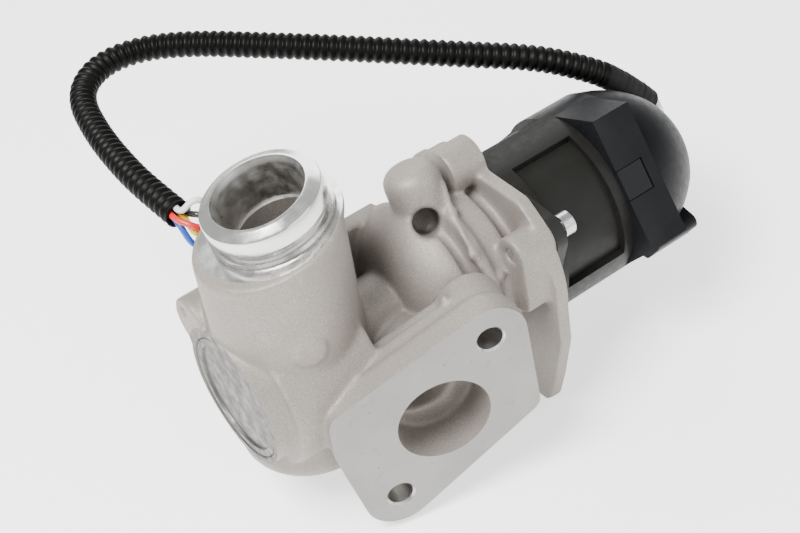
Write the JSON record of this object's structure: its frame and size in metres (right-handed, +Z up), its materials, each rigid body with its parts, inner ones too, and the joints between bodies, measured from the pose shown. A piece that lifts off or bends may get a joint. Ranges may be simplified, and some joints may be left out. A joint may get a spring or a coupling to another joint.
{
  "type": "exhaust gas recirculation valve",
  "caption": "Cast alloy gas valve with a bolted flange and a turned hose spigot, driven by a black motor actuator with a looped wiring conduit.",
  "frame": {"origin": "centre of the gas port on the machined face of the mounting flange", "axes": "+X along the valve stem towards the motor, +Z up beside the outlet spigot, -Y roughly out of the mounting flange"},
  "size_m": [0.2078, 0.1931, 0.1306],
  "materials": {
    "cast_alloy": "sand cast",
    "turned_alloy": "satin",
    "steel": "ground",
    "dark_steel": "phosphated",
    "stainless": "turned",
    "bronze": "sintered",
    "brass": "satin",
    "copper": "enamelled",
    "magnet": "matt",
    "carbon": "matt",
    "black_plastic": "moulded",
    "grey_plastic": "moulded",
    "acetal": "moulded",
    "black_metal": "powder coated",
    "board": "solder resist",
    "seal": "moulded",
    "gasket": "moulded",
    "conduit": "corrugated",
    "wire_white": "extruded",
    "wire_black": "extruded",
    "wire_red": "extruded",
    "wire_yellow": "extruded",
    "wire_blue": "extruded"
  },
  "bodies": {
    "valve_body": {"valve_housing": "cast_alloy", "core_plug": "turned_alloy", "valve_seat": "stainless", "stem_bush": "bronze", "stem_seal": "seal", "return_spring": "steel", "guide_bush": "grey_plastic", "ring_gear": "grey_plastic", "gear_plate": "steel", "carrier_bush": "bronze", "field_magnets": "magnet", "flux_ring": "dark_steel", "motor_bulkhead": "dark_steel", "front_bush": "bronze", "rear_bush": "bronze", "brush_carrier": "grey_plastic", "carbon_brushes": "carbon", "actuator_housing": "black_metal", "actuator_gasket": "gasket", "cap_seal": "seal", "mounting_screws": "steel", "end_cap": "black_plastic", "cap_clips": "black_plastic", "sensor_board": "board", "cable_gland": "seal", "conduit": "conduit", "connector_body": "black_plastic", "contact_pins": "brass", "connector_bracket": "steel", "bracket_screw": "steel", "wire_white": "wire_white", "wire_black": "wire_black", "wire_red": "wire_red", "wire_yellow": "wire_yellow", "wire_blue": "wire_blue"},
    "armature": {"armature_shaft": "steel", "sun_pinion": "brass", "armature_core": "steel", "armature_windings": "copper", "commutator": "copper", "sensor_magnet": "magnet"},
    "gear_carrier": {"planet_carrier": "steel"},
    "planet_1": {"planet_gear_1": "acetal"},
    "planet_2": {"planet_gear_2": "acetal"},
    "planet_3": {"planet_gear_3": "acetal"},
    "valve_train": {"poppet_valve": "stainless", "spring_retainer": "steel", "retainer_clip": "steel", "drive_nut": "acetal"}
  },
  "joints": [
    {"name": "armature_spin", "type": "hinge", "parent": "valve_body", "child": "armature", "pos_m": [0.081, 0.044, 0.0144], "axis": [1, 0, 0], "range_deg": [0, 618.75]},
    {"name": "carrier_spin", "type": "hinge", "parent": "valve_body", "child": "gear_carrier", "pos_m": [0.078, 0.044, 0.0144], "axis": [1, 0, 0], "range_deg": [0, 123.75]},
    {"name": "planet_1_spin", "type": "hinge", "parent": "gear_carrier", "child": "planet_1", "pos_m": [0.081, 0.056, 0.0144], "axis": [1, 0, 0], "range_deg": [-330, 0]},
    {"name": "planet_2_spin", "type": "hinge", "parent": "gear_carrier", "child": "planet_2", "pos_m": [0.081, 0.038, 0.02479], "axis": [1, 0, 0], "range_deg": [-330, 0]},
    {"name": "planet_3_spin", "type": "hinge", "parent": "gear_carrier", "child": "planet_3", "pos_m": [0.081, 0.038, 0.00401], "axis": [1, 0, 0], "range_deg": [-330, 0]},
    {"name": "valve_lift", "type": "slide", "parent": "valve_body", "child": "valve_train", "axis": [-1, 0, 0], "range_m": [0, 0.0055], "deforming": ["return_spring"]}
  ],
  "couplings": [
    {"joint": "carrier_spin", "follows": "armature_spin", "ratio": 0.2},
    {"joint": "planet_1_spin", "follows": "armature_spin", "ratio": -0.53333},
    {"joint": "planet_2_spin", "follows": "armature_spin", "ratio": -0.53333},
    {"joint": "planet_3_spin", "follows": "armature_spin", "ratio": -0.53333},
    {"joint": "valve_lift", "follows": "armature_spin", "m_per_rad": 0.0005093}
  ]
}
